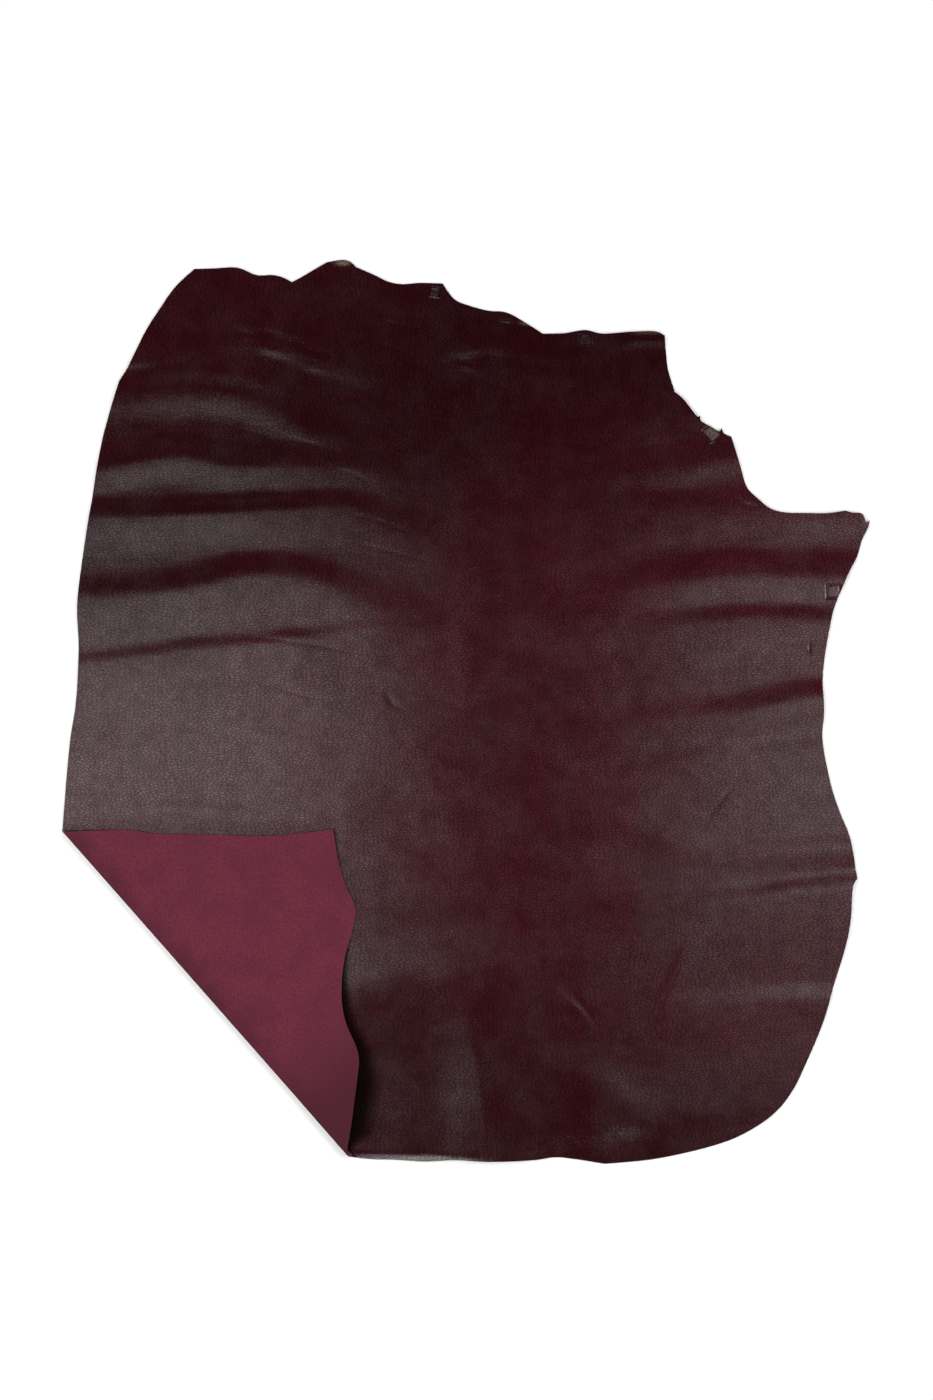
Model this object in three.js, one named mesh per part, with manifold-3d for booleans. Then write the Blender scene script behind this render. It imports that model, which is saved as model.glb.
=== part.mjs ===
// Half hide of pebbled leather, lying loose on a flat surface with its lower left corner turned over.
// Millimetres, +Z up. +X runs to the belly edge, +Y to the neck, and the hide rests on z = 0.
// The origin lies under the middle of the hide as it lies.
import * as THREE from 'three';
import { mergeVertices } from 'three/addons/utils/BufferGeometryUtils.js';
import Module from 'manifold-3d';

// Driving sizes
const leatherThickness = 1.6;
const gridPitch = 34;
const bendRadius = 5.2; // to the middle of the leather, where the corner turns over
const bendSteps = 4;
const layerGap = 1.6; // between the turned corner and the hide under it, once it has settled
const settleLength = 90; // from the bend to where the turned corner has settled
const settleSteps = 4;
const ridgeEase = 0.75; // share of their drawn height that the ridges have kept
const crestSteps = 4; // straight pieces per stretch between two crest points
const edgeSteps = 2; // straight pieces per stretch between two edge points
const slabMargin = 8; // of the flat slab past the outline that cuts it

// The fold runs straight from the back edge to the tail edge. These are its two outer ends.
const foldStart = new THREE.Vector2(-666, -196);
const foldEnd = new THREE.Vector2(-196, -730);

// Edge of the hide as it lies, clockwise from the upper end of the fold: [x, y] of points on it.
// Each stretch is a smooth curve, and two stretches meet at a corner.
const lyingEdge = {
  back: [
    [-665, -189], [-660, -121], [-653, -46], [-643, 20], [-639, 102], [-641, 176],
    [-633, 251], [-617, 350], [-605, 424], [-594, 473], [-572, 546],
  ],
  shoulder: [[-572, 546], [-556, 572], [-531, 624], [-508, 661], [-480, 701], [-448, 731]],
  neck: [
    [-448, 731], [-414, 732], [-377, 733], [-346, 721], [-320, 721], [-302, 717], [-287, 709],
  ],
  neckPoint: [[-287, 709], [-267, 720], [-245, 733], [-229, 742]],
  neckBump: [[-229, 742], [-204, 746], [-191, 743], [-181, 734]],
  throat: [[-181, 734], [-151, 721], [-128, 710], [-105, 706], [-75, 708], [-38, 707]],
  throatStep: [
    [-38, 707], [-29, 693], [-16, 679], [7, 670], [37, 662], [63, 660], [86, 650], [127, 624],
  ],
  chest: [[127, 624], [164, 625], [197, 630], [226, 624], [271, 627], [311, 628], [328, 621]],
  chestEnd: [[328, 621], [330, 597], [334, 564], [345, 528]],
  tear: [[345, 528], [358, 517], [370, 502], [382, 487], [387, 489]],
  tearMiddle: [[387, 489], [388, 480], [406, 470], [418, 463], [422, 469]],
  tearEnd: [[422, 469], [426, 460], [438, 454]],
  legFront: [
    [438, 454], [445, 432], [454, 402], [464, 371], [481, 353], [502, 336], [527, 329],
    [560, 328], [598, 328], [626, 332],
  ],
  legEnd: [[626, 332], [637, 329], [651, 328], [657, 322], [660, 312]],
  legTag: [[660, 312], [666, 316]],
  belly: [
    [666, 316], [664, 305], [654, 284], [646, 257], [631, 228], [611, 180], [603, 152],
    [594, 102], [589, 53], [591, 0], [589, -50], [603, -121], [618, -167], [634, -208],
    [646, -275],
  ],
  rump: [
    [646, -275], [638, -291], [635, -343], [626, -390], [606, -456], [588, -517], [558, -588],
    [540, -624], [515, -657], [479, -685], [433, -708], [370, -726], [304, -739], [230, -746],
  ],
  tail: [
    [230, -746], [179, -738], [147, -735], [116, -739], [73, -741], [27, -741], [-18, -739],
    [-67, -742], [-117, -739], [-155, -738], [-184, -735],
  ],
};

// Edge of the turned corner as it lies, from the tail edge round its tip to the back edge.
const turnedEdge = {
  end: [
    [-195, -720], [-188, -678], [-183, -640], [-178, -599], [-176, -571], [-183, -546],
    [-196, -517], [-203, -485], [-204, -446], [-199, -404], [-189, -368], [-182, -337],
    [-183, -319], [-198, -286], [-210, -246], [-216, -208], [-219, -193],
  ],
  side: [
    [-219, -193], [-262, -199], [-302, -203], [-346, -205], [-427, -202], [-506, -201],
    [-549, -195], [-595, -195], [-657, -197],
  ],
};

// Soft ridges of the lying hide: crest is [x, y, height] of points along the top, and above and
// below are how far it falls away on its left and right, seen along the crest.
const ridges = [
  {
    crest: [
      [-612, 518, 2], [-504, 529, 5], [-397, 528, 5.5], [-331, 508, 5], [-257, 465, 3.5],
      [-183, 440, 1.5], [-108, 428, 0],
    ],
    above: 44,
    below: 56,
  },
  {
    crest: [
      [-623, 399, 3], [-554, 412, 5.5], [-463, 421, 6], [-386, 406, 5], [-273, 404, 3.5],
      [-174, 399, 2], [-75, 376, 0],
    ],
    above: 43,
    below: 55,
  },
  {
    crest: [
      [-636, 323, 4], [-521, 323, 5.5], [-397, 330, 6], [-290, 335, 5], [-199, 338, 3],
      [-108, 310, 1], [-9, 267, 0],
    ],
    above: 34,
    below: 73,
  },
  {
    crest: [
      [-653, 181, 3], [-554, 191, 5], [-463, 201, 6], [-372, 221, 6], [-290, 221, 5.5],
      [-199, 195, 3.5], [-108, 165, 1.5], [-26, 155, 0],
    ],
    above: 48,
    below: 82,
  },
  {
    crest: [
      [-653, 76, 2], [-554, 87, 3], [-455, 102, 3], [-356, 109, 2.5], [-257, 119, 2],
      [-158, 132, 1.5], [-59, 132, 1], [57, 125, 0],
    ],
    above: 26,
    below: 106,
  },
  {
    crest: [
      [-669, -175, 2], [-554, -165, 2.5], [-438, -165, 2.5], [-323, -182, 2], [-224, -165, 1.5],
      [-108, -145, 0],
    ],
    above: 30,
    below: 50,
  },
  {
    crest: [
      [-570, 577, 2.5], [-504, 597, 1.5], [-438, 605, 0.8], [-356, 620, 2.5], [-273, 597, 3],
      [-191, 567, 1.5], [-108, 548, 0],
    ],
    above: 26,
    below: 36,
  },
  {
    crest: [
      [-108, 561, 0], [-42, 571, 2], [7, 577, 3.5], [57, 581, 2.5], [156, 561, 1.5],
      [255, 548, 0],
    ],
    above: 24,
    below: 43,
  },
  {
    crest: [
      [90, 643, 0], [156, 630, 2], [238, 624, 3], [304, 624, 3.5], [370, 617, 2],
    ],
    above: 16,
    below: 36,
  },
  {
    crest: [
      [238, 449, 0], [304, 485, 2.5], [354, 511, 4], [395, 528, 4.5],
    ],
    above: 36,
    below: 82,
  },
  {
    crest: [
      [156, 379, 0], [255, 399, 2], [354, 409, 3.3], [436, 422, 4], [502, 432, 3],
    ],
    above: 40,
    below: 46,
  },
  {
    crest: [
      [123, 317, 0], [255, 330, 1.2], [387, 336, 2], [502, 340, 3], [601, 341, 4], [684, 340, 4],
    ],
    above: 34,
    below: 76,
  },
  {
    crest: [
      [90, 175, 0], [189, 188, 1.5], [288, 203, 3.5], [387, 219, 5], [486, 224, 5.5],
      [585, 223, 5.5], [667, 218, 5],
    ],
    above: 50,
    below: 56,
  },
  {
    crest: [
      [-75, 138, 0], [57, 148, 1], [222, 148, 1.8], [354, 145, 2.4], [469, 152, 3], [601, 148, 3],
    ],
    above: 34,
    below: 80,
  },
  {
    crest: [
      [156, -55, 0], [255, -27, 1.2], [354, -12, 3], [453, -5, 5], [527, 13, 6], [618, 23, 5.5],
    ],
    above: 42,
    below: 59,
  },
  {
    crest: [
      [189, -109, 0], [288, -99, 1], [387, -76, 1.5], [486, -66, 1.3], [618, -63, 1],
    ],
    above: 26,
    below: 90,
  },
  {
    crest: [
      [222, -178, 0], [321, -208, 2], [420, -231, 2], [519, -231, 3.5], [651, -225, 5],
    ],
    above: 36,
    below: 43,
  },
  {
    crest: [
      [156, -352, 0], [255, -330, 2], [387, -320, 4.5], [486, -309, 6], [568, -297, 6.5],
      [667, -287, 6],
    ],
    above: 34,
    below: 157,
  },
  {
    crest: [
      [288, -475, 0], [387, -489, 2], [486, -480, 3], [568, -475, 3], [634, -482, 2.5],
    ],
    above: 32,
    below: 74,
  },
  {
    crest: [
      [-273, -459, 6], [-174, -459, 8], [-92, -452, 7], [-9, -432, 6], [106, -419, 5.5],
      [222, -406, 4], [321, -396, 2], [420, -393, 0],
    ],
    above: 99,
    below: 124,
  },
  {
    crest: [
      [24, -687, 0], [106, -690, 2], [205, -687, 3], [304, -677, 2.5], [403, -660, 1.5],
      [502, -632, 0],
    ],
    above: 99,
    below: 40,
  },
  {
    crest: [
      [-16, -409, 0], [-3, -475, 3], [12, -541, 6], [24, -607, 8], [32, -673, 9], [37, -764, 9],
    ],
    above: 150,
    below: 90,
  },
  {
    crest: [
      [70, -560, 0], [130, -590, 3], [200, -615, 4], [270, -650, 3], [330, -680, 0],
    ],
    above: 60,
    below: 60,
  },
  {
    crest: [
      [-224, -723, 3], [-108, -726, 5], [-26, -729, 6], [57, -736, 2], [123, -739, 0],
    ],
    above: 116,
    below: 20,
  },
];

// The free edge of the turned corner stands up a little here.
const edgeLifts = [
  { at: [-172, -640], height: 9, reach: 110 },
  { at: [-196, -440], height: 5, reach: 90 },
  { at: [-205, -215], height: 3, reach: 80 },
];

const alongFold = foldEnd.clone().sub(foldStart).normalize();
const acrossFold = new THREE.Vector2(alongFold.y, -alongFold.x); // towards the corner
const halfThickness = leatherThickness / 2;
const bendStart = -(bendRadius + halfThickness);
const bendLength = Math.PI * bendRadius;

function toFold(x, y) {
  const fromStart = new THREE.Vector2(x, y).sub(foldStart);
  return { along: fromStart.dot(alongFold), across: fromStart.dot(acrossFold) };
}

function fromFold(along, across) {
  return foldStart.clone().addScaledVector(alongFold, along).addScaledVector(acrossFold, across);
}

// Where a point of the turned corner lies in the flat cut.
function unturned(point) {
  const { along, across } = toFold(point.x, point.y);
  return fromFold(along, 2 * bendStart + bendLength - across);
}

function curveThrough(points, steps) {
  const curve = new THREE.SplineCurve(points.map(([x, y]) => new THREE.Vector2(x, y)));
  return curve.getPoints((points.length - 1) * steps);
}

function stretches(edges) {
  return Object.values(edges).flatMap((points) => curveThrough(points, edgeSteps).slice(0, -1));
}

// Outline of the hide before its corner was turned over.
function flatOutline() {
  const lastTurned = new THREE.Vector2(...turnedEdge.side.at(-1));
  return [...stretches(lyingEdge), ...[...stretches(turnedEdge), lastTurned].map(unturned)];
}

const crests = ridges.map(({ crest, above, below }) => {
  const points = crest.map(([x, y, height]) => new THREE.Vector3(x, y, height));
  const curve = new THREE.CatmullRomCurve3(points, false, 'catmullrom');
  return { line: curve.getPoints((points.length - 1) * crestSteps), above, below };
});

// Nearest place on a crest: its height, the distance, and the side it is seen from.
function nearestOnCrest(line, point) {
  let nearest = { distance: Infinity };
  for (let i = 0; i + 1 < line.length; i += 1) {
    const start = new THREE.Vector2(line[i].x, line[i].y);
    const step = new THREE.Vector2(line[i + 1].x, line[i + 1].y).sub(start);
    const offset = point.clone().sub(start);
    const part = THREE.MathUtils.clamp(offset.dot(step) / step.lengthSq(), 0, 1);
    const distance = offset.clone().addScaledVector(step, -part).length();
    if (distance < nearest.distance) {
      const height = THREE.MathUtils.lerp(line[i].z, line[i + 1].z, part);
      nearest = { distance, height, side: step.cross(offset) };
    }
  }
  return nearest;
}

function ridgeHeight({ line, above, below }, point) {
  const { distance, height, side } = nearestOnCrest(line, point);
  const fall = Math.min(distance / (side > 0 ? above : below), 1);
  return Math.max(height, 0) * (1 + Math.cos(Math.PI * fall)) / 2;
}

function relief(point) {
  return ridgeEase * crests.reduce((sum, crest) => sum + ridgeHeight(crest, point), 0);
}

function cornerLift(point) {
  return edgeLifts.reduce((sum, { at, height, reach }) => {
    const share = Math.min(point.distanceTo(new THREE.Vector2(...at)) / reach, 1);
    return sum + height * (1 + Math.cos(Math.PI * share)) / 2;
  }, 0);
}

// Place of a point of the flat leather, level above its flesh side, once the hide is laid down.
function laid(x, y, level) {
  const { along, across } = toFold(x, y);
  const pastStart = across - bendStart;
  if (pastStart <= 0) {
    const plan = new THREE.Vector2(x, y);
    return new THREE.Vector3(plan.x, plan.y, relief(plan) + level);
  }
  if (pastStart < bendLength) {
    const angle = pastStart / bendRadius;
    const radius = bendRadius + halfThickness - level;
    const plan = fromFold(along, bendStart + radius * Math.sin(angle));
    const rise = halfThickness + bendRadius - radius * Math.cos(angle);
    return new THREE.Vector3(plan.x, plan.y, relief(plan) + rise);
  }
  const pastBend = pastStart - bendLength;
  const plan = fromFold(along, bendStart - pastBend);
  const settled = THREE.MathUtils.smoothstep(pastBend, 0, settleLength);
  const drop = THREE.MathUtils.lerp(2 * bendRadius, leatherThickness + layerGap, settled);
  const rise = drop + cornerLift(plan) + leatherThickness - level;
  return new THREE.Vector3(plan.x, plan.y, relief(plan) + rise);
}

// Evenly spaced places from one up to, but not including, the other.
function evenPlaces(from, to, count = Math.max(1, Math.round((to - from) / gridPitch))) {
  return Array.from({ length: count }, (_, i) => from + (to - from) * i / count);
}

// Rows of a flat slab that covers the outline, set closer together at the bend.
function slabRows(outline) {
  const places = outline.map((point) => toFold(point.x, point.y));
  const along = places.map((place) => place.along);
  const across = places.map((place) => place.across);
  const bendEnd = bendStart + bendLength;
  const settleEnd = bendEnd + settleLength;
  const alongEnd = Math.max(...along) + slabMargin;
  const acrossEnd = Math.max(...across) + slabMargin;
  return {
    along: [...evenPlaces(Math.min(...along) - slabMargin, alongEnd), alongEnd],
    across: [
      ...evenPlaces(Math.min(...across) - slabMargin, bendStart),
      ...evenPlaces(bendStart, bendEnd, bendSteps),
      ...evenPlaces(bendEnd, settleEnd, settleSteps),
      ...evenPlaces(settleEnd, acrossEnd),
      acrossEnd,
    ],
  };
}

// The slab is a box divided once per row, its vertices then moved to the rows.
function slabGeometry(outline) {
  const { along, across } = slabRows(outline);
  const columns = across.length - 1;
  const rows = along.length - 1;
  const geometry = new THREE.BoxGeometry(columns, rows, leatherThickness, columns, rows, 1);
  const position = geometry.attributes.position;
  for (let i = 0; i < position.count; i += 1) {
    const column = Math.round(position.getX(i) + columns / 2);
    const row = Math.round(position.getY(i) + rows / 2);
    const place = fromFold(along[row], across[column]);
    position.setXYZ(i, place.x, place.y, position.getZ(i) + halfThickness);
  }
  return geometry;
}

// A tall prism of the outline, which cuts the slab to shape.
function cutterGeometry(outline) {
  const depth = 4 * leatherThickness;
  const geometry = new THREE.ExtrudeGeometry(new THREE.Shape(outline), {
    depth,
    bevelEnabled: false,
  });
  return geometry.translate(0, 0, halfThickness - depth / 2);
}

function toManifold(wasm, geometry) {
  geometry.deleteAttribute('normal');
  geometry.deleteAttribute('uv');
  const merged = mergeVertices(geometry);
  return new wasm.Manifold(new wasm.Mesh({
    numProp: 3,
    vertProperties: merged.attributes.position.array,
    triVerts: Uint32Array.from(merged.index.array),
  }));
}

async function hideGeometry() {
  const wasm = await Module();
  wasm.setup();
  const outline = flatOutline();
  const slab = toManifold(wasm, slabGeometry(outline));
  const cutter = toManifold(wasm, cutterGeometry(outline));
  const cut = slab.intersect(cutter).getMesh();
  const geometry = new THREE.BufferGeometry();
  const flat = new THREE.BufferAttribute(Float32Array.from(cut.vertProperties), 3);
  for (let i = 0; i < flat.count; i += 1) {
    const place = laid(flat.getX(i), flat.getY(i), flat.getZ(i));
    flat.setXYZ(i, place.x, place.y, place.z);
  }
  geometry.setAttribute('position', flat);
  geometry.setIndex(Array.from(cut.triVerts));
  geometry.computeVertexNormals();
  return geometry;
}

const leather = new THREE.MeshStandardMaterial({ color: 0x34191e, roughness: 0.5, metalness: 0 });
const hide = new THREE.Mesh(await hideGeometry(), leather);
hide.name = 'hide';

const model = new THREE.Group();
model.add(hide);

export default model;
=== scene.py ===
# Half hide of pebbled leather, lying loose with its lower left corner turned over.
import math
from collections import namedtuple

import bpy
import numpy as np
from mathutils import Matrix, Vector, kdtree, noise
from mathutils.geometry import delaunay_2d_cdt


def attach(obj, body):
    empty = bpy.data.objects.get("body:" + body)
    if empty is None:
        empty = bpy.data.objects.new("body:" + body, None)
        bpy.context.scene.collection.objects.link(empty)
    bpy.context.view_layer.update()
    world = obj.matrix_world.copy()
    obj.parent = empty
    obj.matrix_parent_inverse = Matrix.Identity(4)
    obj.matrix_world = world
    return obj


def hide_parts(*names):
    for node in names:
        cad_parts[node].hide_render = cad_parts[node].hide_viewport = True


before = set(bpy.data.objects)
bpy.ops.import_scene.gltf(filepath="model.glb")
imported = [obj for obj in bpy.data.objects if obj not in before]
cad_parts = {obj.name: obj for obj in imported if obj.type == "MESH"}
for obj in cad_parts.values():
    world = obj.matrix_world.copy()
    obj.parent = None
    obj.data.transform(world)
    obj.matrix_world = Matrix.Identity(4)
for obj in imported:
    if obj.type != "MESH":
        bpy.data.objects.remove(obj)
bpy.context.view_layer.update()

# ---------------------------------------------------------------- sizes, millimetres
MM = 0.001
LEATHER_THICKNESS = 1.6
BEND_RADIUS = 5.2        # to the middle of the leather, where the corner turns over
LAYER_GAP = 1.6          # between the turned corner and the hide under it
SETTLE_LENGTH = 90       # from the bend to where the turned corner has settled
LIFT_LENGTH = 30         # from the bend to where the free edge may stand up in full
WAVE_EASE = 0.75         # share of their drawn height that the waves have kept
SWELL_REST = 0.5         # lifts the swells clear of the floor
WAVE_LINE_PITCH = 20     # between points along the crest of a wave
FINE_LINE_PITCH = 8      # between points along a wrinkle or a crease
MESH_PITCH = 6.0         # between mesh points on the grain side
UNDER_PITCH = 12.0       # between mesh points on the flesh side
EDGE_PITCH = 3.5         # between mesh points along the cut edge
CREASE_PITCH = 3.0       # between mesh points along a crease
BEND_ROWS = 10           # of mesh points round the bend
BEND_COLUMN_PITCH = 4.0  # between those rows' points along the fold
CLOSE_TO_EDGE = 0.6      # share of the pitch that closer mesh points keep from the cut edge
PLAIN_TO_CLOSE = 0.45    # share of the pitch that the others keep from them
SAME_PLACE = 1e-4        # mesh points nearer than this are one
FOLD_START = np.array([-666.0, -196.0])
FOLD_END = np.array([-196.0, -730.0])

HALF_THICKNESS = LEATHER_THICKNESS / 2
BEND_BEGIN = -(BEND_RADIUS + HALF_THICKNESS)
BEND_LENGTH = math.pi * BEND_RADIUS
ALONG_FOLD = (FOLD_END - FOLD_START) / np.linalg.norm(FOLD_END - FOLD_START)
ACROSS_FOLD = np.array([ALONG_FOLD[1], -ALONG_FOLD[0]])

# Edge of the hide as it lies, clockwise from the upper end of the fold. Each row is one
# smooth stretch, and two stretches meet at a corner.
LYING_EDGE = {
    "back": [(-665, -189), (-660, -121), (-653, -46), (-643, 20), (-639, 102), (-641, 176),
             (-633, 251), (-617, 350), (-605, 424), (-594, 473), (-572, 546)],
    "shoulder": [(-572, 546), (-556, 572), (-531, 624), (-508, 661), (-480, 701), (-448, 731)],
    "neck": [(-448, 731), (-414, 732), (-377, 733), (-346, 721), (-320, 721), (-302, 717),
             (-287, 709)],
    "neck point": [(-287, 709), (-267, 720), (-245, 733), (-229, 742)],
    "neck bump": [(-229, 742), (-204, 746), (-191, 743), (-181, 734)],
    "throat": [(-181, 734), (-151, 721), (-128, 710), (-105, 706), (-75, 708), (-38, 707)],
    "throat step": [(-38, 707), (-29, 693), (-16, 679), (7, 670), (37, 662), (63, 660),
                    (86, 650), (127, 624)],
    "chest": [(127, 624), (164, 625), (197, 630), (226, 624), (271, 627), (311, 628),
              (328, 621)],
    "chest end": [(328, 621), (330, 597), (334, 564), (345, 528)],
    "tear": [(345, 528), (358, 517), (370, 502), (382, 487), (387, 489)],
    "tear middle": [(387, 489), (388, 480), (406, 470), (418, 463), (422, 469)],
    "tear end": [(422, 469), (426, 460), (438, 454)],
    "leg front": [(438, 454), (445, 432), (454, 402), (464, 371), (481, 353), (502, 336),
                  (527, 329), (560, 328), (598, 328), (626, 332)],
    "leg end": [(626, 332), (637, 329), (651, 328), (657, 322), (660, 312)],
    "leg tag": [(660, 312), (666, 316)],
    "belly": [(666, 316), (664, 305), (654, 284), (646, 257), (631, 228), (611, 180),
              (603, 152), (594, 102), (589, 53), (591, 0), (589, -50), (603, -121),
              (618, -167), (634, -208), (646, -275)],
    "rump": [(646, -275), (638, -291), (635, -343), (626, -390), (606, -456), (588, -517),
             (558, -588), (540, -624), (515, -657), (479, -685), (433, -708), (370, -726),
             (304, -739), (230, -746)],
    "tail": [(230, -746), (179, -738), (147, -735), (116, -739), (73, -741), (27, -741),
             (-18, -739), (-67, -742), (-117, -739), (-155, -738), (-184, -735)],
}
# Edge of the turned corner as it lies, from the tail edge round its tip to the back edge.
TURNED_EDGE = {
    "end": [(-195, -720), (-188, -678), (-183, -640), (-178, -599), (-176, -571),
            (-183, -546), (-196, -517), (-203, -485), (-204, -446), (-199, -404),
            (-189, -368), (-182, -337), (-183, -319), (-198, -286), (-210, -246),
            (-216, -208), (-219, -193)],
    "side": [(-219, -193), (-262, -199), (-302, -203), (-346, -205), (-427, -202),
             (-506, -201), (-549, -195), (-595, -195), (-657, -197)],
}

# Ridges: (x, y, height) of points along the crest, how far it falls away on its left (above)
# and on its right (below) as seen along the crest, and how crisp the crest is, from 0 to 1.
Ridge = namedtuple("Ridge", "crest above below crisp", defaults=(0.0,))
WAVES = [
    Ridge([(-612, 518, 2), (-504, 529, 5), (-397, 528, 5.5), (-331, 508, 5), (-257, 465, 3.5),
           (-183, 440, 1.5), (-108, 428, 0)], 44, 56, 0.1),
    Ridge([(-623, 399, 3), (-554, 412, 5.5), (-463, 421, 6), (-386, 406, 5), (-273, 404, 3.5),
           (-174, 399, 2), (-75, 376, 0)], 43, 55, 0.2),
    Ridge([(-636, 323, 4), (-521, 323, 5.5), (-397, 330, 6), (-290, 335, 5), (-199, 338, 3),
           (-108, 310, 1), (-9, 267, 0)], 34, 73, 0.25),
    Ridge([(-653, 181, 3), (-554, 191, 5), (-463, 201, 6), (-372, 221, 6), (-290, 221, 5.5),
           (-199, 195, 3.5), (-108, 165, 1.5), (-26, 155, 0)], 48, 82, 0.15),
    Ridge([(-653, 76, 2), (-554, 87, 3), (-455, 102, 3), (-356, 109, 2.5), (-257, 119, 2),
           (-158, 132, 1.5), (-59, 132, 1), (57, 125, 0)], 26, 106, 0.2),
    Ridge([(-669, -175, 2), (-554, -165, 2.5), (-438, -165, 2.5), (-323, -182, 2),
           (-224, -165, 1.5), (-108, -145, 0)], 30, 50, 0),
    Ridge([(-570, 577, 2.5), (-504, 597, 1.5), (-438, 605, 0.8), (-356, 620, 2.5),
           (-273, 597, 3), (-191, 567, 1.5), (-108, 548, 0)], 26, 36, 0.1),
    Ridge([(-108, 561, 0), (-42, 571, 2), (7, 577, 3.5), (57, 581, 2.5), (156, 561, 1.5),
           (255, 548, 0)], 24, 43, 0.1),
    Ridge([(90, 643, 0), (156, 630, 2), (238, 624, 3), (304, 624, 3.5),
           (370, 617, 2)], 16, 36, 0.1),
    Ridge([(238, 449, 0), (304, 485, 2.5), (354, 511, 4), (395, 528, 4.5)], 36, 82, 0.1),
    Ridge([(156, 379, 0), (255, 399, 2), (354, 409, 3.3), (436, 422, 4),
           (502, 432, 3)], 40, 46, 0),
    Ridge([(123, 317, 0), (255, 330, 1.2), (387, 336, 2), (502, 340, 3), (601, 341, 4),
           (684, 340, 4)], 34, 76, 0),
    Ridge([(90, 175, 0), (189, 188, 1.5), (288, 203, 3.5), (387, 219, 5), (486, 224, 5.5),
           (585, 223, 5.5), (667, 218, 5)], 50, 56, 0.15),
    Ridge([(-75, 138, 0), (57, 148, 1), (222, 148, 1.8), (354, 145, 2.4), (469, 152, 3),
           (601, 148, 3)], 34, 80, 0.1),
    Ridge([(156, -55, 0), (255, -27, 1.2), (354, -12, 3), (453, -5, 5), (527, 13, 6),
           (618, 23, 5.5)], 42, 59, 0.15),
    Ridge([(189, -109, 0), (288, -99, 1), (387, -76, 1.5), (486, -66, 1.3),
           (618, -63, 1)], 26, 90, 0.1),
    Ridge([(222, -178, 0), (321, -208, 2), (420, -231, 2), (519, -231, 3.5),
           (651, -225, 5)], 36, 43, 0.1),
    Ridge([(156, -352, 0), (255, -330, 2), (387, -320, 4.5), (486, -309, 6), (568, -297, 6.5),
           (667, -287, 6)], 34, 157, 0.15),
    Ridge([(288, -475, 0), (387, -489, 2), (486, -480, 3), (568, -475, 3),
           (634, -482, 2.5)], 32, 74, 0.1),
    Ridge([(-273, -459, 6), (-174, -459, 8), (-92, -452, 7), (-9, -432, 6), (106, -419, 5.5),
           (222, -406, 4), (321, -396, 2), (420, -393, 0)], 99, 124, 0.1),
    Ridge([(24, -687, 0), (106, -690, 2), (205, -687, 3), (304, -677, 2.5), (403, -660, 1.5),
           (502, -632, 0)], 99, 40, 0.1),
    Ridge([(-16, -409, 0), (-3, -475, 3), (12, -541, 6), (24, -607, 8), (32, -673, 9),
           (37, -764, 9)], 150, 90, 0.5),
    Ridge([(70, -560, 0), (130, -590, 3), (200, -615, 4), (270, -650, 3),
           (330, -680, 0)], 60, 60, 0),
    Ridge([(-224, -723, 3), (-108, -726, 5), (-26, -729, 6), (57, -736, 2),
           (123, -739, 0)], 116, 20, 0.1),
]
# Small wrinkles among the waves, drawn in the same way.
WRINKLES = [
    Ridge([(-16, 577, 0), (10, 567, 1.1), (40, 556, 0)], 14, 9, 0.3),
    Ridge([(-384, 627, 0), (-365, 622, 0.8), (-340, 616, 0)], 9, 8, 0.3),
    Ridge([(-351, 604, 0), (-315, 595, 0.75), (-281, 585, 0)], 12, 11, 0.3),
    Ridge([(-275, 575, 0), (-250, 568, 0.6), (-222, 559, 0)], 8, 7, 0.3),
    Ridge([(-570, 574, 0.8), (-540, 575, 0.9), (-512, 578, 0)], 9, 8, 0.3),
    Ridge([(-490, 657, 0), (-470, 652, 0.6), (-446, 647, 0)], 8, 7, 0.3),
    Ridge([(-179, 655, 0), (-133, 645, 0.5), (-88, 633, 0)], 7, 6, 0.3),
    Ridge([(-158, 630, 0), (-130, 621, 0.45), (-100, 608, 0)], 7, 6, 0.3),
    Ridge([(84, 640, 0.4), (105, 630, 0.9), (128, 617, 0)], 10, 8, 0.3),
    Ridge([(56, 473, 0), (98, 468, 1.0), (130, 460, 0)], 16, 11, 0.2),
    Ridge([(-60, 520, 0), (0, 505, 0.6), (60, 500, 0)], 14, 10, 0.2),
    Ridge([(246, 605, 0), (287, 612, 0.9), (325, 612, 0.5)], 10, 9, 0.3),
    Ridge([(376, -366, 0), (345, -430, 1.6), (312, -500, 0)], 46, 12, 0.4),
    Ridge([(140, -455, 0), (172, -480, 1.2), (206, -512, 0)], 10, 14, 0.3),
    Ridge([(345, 506, 0), (386, 478, 1.4), (425, 452, 1.0)], 24, 12, 0.2),
]
# The slight waviness all over: its height, and how far a swell runs across and along the hide.
Swell = namedtuple("Swell", "height across along layer")
SWELLS = [Swell(0.55, 95, 48, 0.5), Swell(0.22, 42, 24, 7.5)]
# Where the free edge of the turned corner stands up: how high, and how far round about.
Lift = namedtuple("Lift", "at height reach")
EDGE_LIFTS = [
    Lift((-172, -640), 9, 110),
    Lift((-196, -440), 5, 90),
    Lift((-205, -215), 3, 80),
]
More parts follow.
